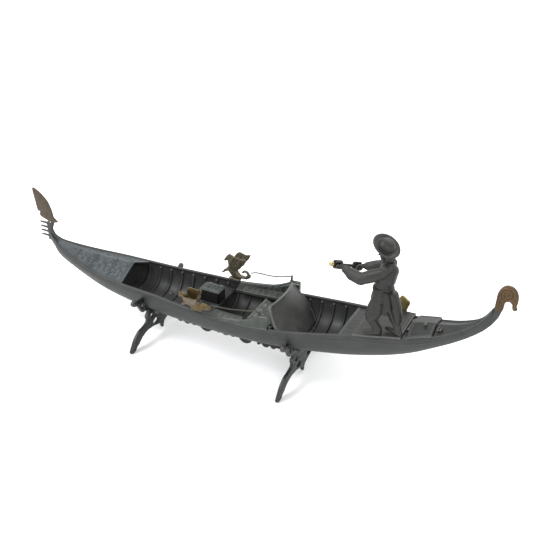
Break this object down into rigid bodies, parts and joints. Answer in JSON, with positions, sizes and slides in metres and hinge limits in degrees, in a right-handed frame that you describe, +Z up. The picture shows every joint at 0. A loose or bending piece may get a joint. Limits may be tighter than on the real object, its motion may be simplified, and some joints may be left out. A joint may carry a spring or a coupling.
{
  "type": "souvenir gondola model",
  "caption": "Cast metal souvenir model of a gondola on a two-bracket stand, with a rower, an oar, a hinged hatch and a hinged casket.",
  "frame": {"origin": "centre of the footprint, on the surface the four feet stand on", "axes": "+X from the bow to the stern, +Y to starboard, +Z up"},
  "size_m": [0.4812, 0.1064, 0.1635],
  "materials": {
    "hull_metal": "dark patina, satin",
    "deck_relief": "dark patina, high points rubbed",
    "deck_metal": "dark patina, satin",
    "platform_metal": "dark patina, rubbed",
    "fitting_metal": "dark patina",
    "pin_brass": "dull",
    "blade_brass": "dull brass, hand rubbed",
    "scroll_brass": "dull brass showing through patina",
    "stand_metal": "dark patina, satin",
    "screw_steel": "dull",
    "casket_black": "near black patina",
    "casket_top": "embossed, rubbed",
    "seat_metal": "dark patina",
    "side_metal": "dark patina, rubbed edges",
    "ornament_dull": "dull grey brass",
    "ornament_bright": "worn brass",
    "cord_metal": "twisted wire, tarnished",
    "figure_metal": "dark patina, matt",
    "hat_metal": "dark patina, matt",
    "sash_metal": "dark patina",
    "forcola_brass": "bright brass",
    "oar_metal": "dark patina",
    "ferrule_brass": "bright brass"
  },
  "bodies": {
    "boat": {"hull_shell": "hull_metal", "foredeck": "deck_relief", "bulkhead": "hull_metal", "aft_deck": "deck_metal", "platform": "platform_metal", "tail_deck": "deck_metal", "hatch_sill": "hull_metal", "hasp": "fitting_metal", "bow_blade": "blade_brass", "stern_scroll": "scroll_brass", "front_bracket": "stand_metal", "rear_bracket": "stand_metal", "apron_front": "stand_metal", "apron_rear": "stand_metal", "bracket_screws": "screw_steel", "thwart": "hull_metal", "casket": "casket_black", "seat_base": "seat_metal", "seat_cushion": "seat_metal", "seat_back": "seat_metal", "starboard_armrest": "side_metal", "port_armrest": "side_metal", "rope_posts": "fitting_metal", "starboard_horse": "ornament_dull", "port_horse": "ornament_bright", "starboard_rope": "cord_metal", "port_rope": "cord_metal", "gondolier": "figure_metal", "head": "figure_metal", "hat": "hat_metal", "left_arm": "figure_metal", "right_arm": "figure_metal", "sash": "sash_metal", "figure_screws": "screw_steel", "forcola": "forcola_brass", "forcola_block": "hull_metal"},
    "hatch": {"hatch_lid": "deck_metal", "hatch_pull": "fitting_metal", "hatch_pin": "pin_brass"},
    "casket_top": {"casket_lid": "casket_top", "casket_pin": "pin_brass"},
    "oar": {"oar": "oar_metal", "oar_ferrule": "ferrule_brass"}
  },
  "joints": [
    {"name": "hatch_hinge", "type": "hinge", "parent": "boat", "child": "hatch", "pos_m": [0.16, 0, 0.0804], "axis": [0, -1, 0], "range_deg": [0, 70]},
    {"name": "casket_hinge", "type": "hinge", "parent": "boat", "child": "casket_top", "pos_m": [-0.0335, 0.0098, 0.0612], "axis": [-1, 0, 0], "range_deg": [0, 95]},
    {"name": "oar_spin", "type": "hinge", "parent": "boat", "child": "oar", "pos_m": [0.0983, -0.014, 0.13], "axis": [0.5338, 0.7765, -0.3349], "continuous": true}
  ]
}
